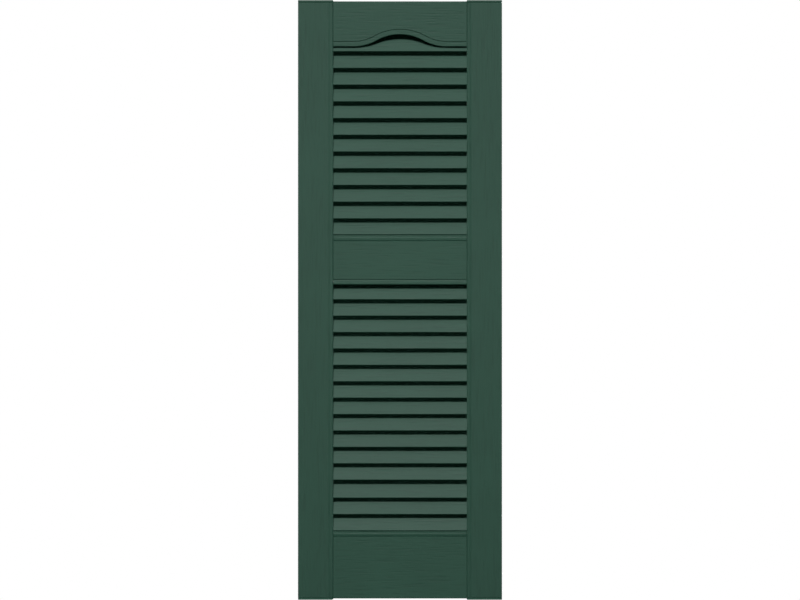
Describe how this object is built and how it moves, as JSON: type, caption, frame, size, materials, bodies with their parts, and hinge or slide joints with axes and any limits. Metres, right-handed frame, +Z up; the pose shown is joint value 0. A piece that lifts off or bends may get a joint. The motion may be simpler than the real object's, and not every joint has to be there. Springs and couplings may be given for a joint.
{
  "type": "louvered window shutter",
  "caption": "Fixed exterior vinyl shutter: capped hollow stiles, a cathedral-arched top rail, centre and bottom rails, and two banks of inclined louvers.",
  "frame": {"origin": "on the wall plane, behind the middle of the centre rail", "axes": "+X to the right seen from the front, +Y into the wall, +Z up along the shutter's length"},
  "size_m": [0.3682, 0.0258, 1.0827],
  "materials": {
    "frame": "moulded-in dark green, low sheen, shallow embossed wood grain",
    "louver": "moulded-in dark green, low sheen, shallow embossed wood grain along the blade"
  },
  "bodies": {
    "root": {"left_stile": "frame", "right_stile": "frame", "left_stile_top_cap": "frame", "left_stile_bottom_cap": "frame", "right_stile_top_cap": "frame", "right_stile_bottom_cap": "frame", "top_rail": "frame", "center_rail": "frame", "bottom_rail": "frame", "upper_louver_01": "louver", "upper_louver_02": "louver", "upper_louver_03": "louver", "upper_louver_04": "louver", "upper_louver_05": "louver", "upper_louver_06": "louver", "upper_louver_07": "louver", "upper_louver_08": "louver", "upper_louver_09": "louver", "upper_louver_10": "louver", "upper_louver_11": "louver", "upper_louver_12": "louver", "lower_louver_01": "louver", "lower_louver_02": "louver", "lower_louver_03": "louver", "lower_louver_04": "louver", "lower_louver_05": "louver", "lower_louver_06": "louver", "lower_louver_07": "louver", "lower_louver_08": "louver", "lower_louver_09": "louver", "lower_louver_10": "louver", "lower_louver_11": "louver", "lower_louver_12": "louver", "lower_louver_13": "louver", "lower_louver_14": "louver", "lower_louver_15": "louver"}
  },
  "joints": []
}
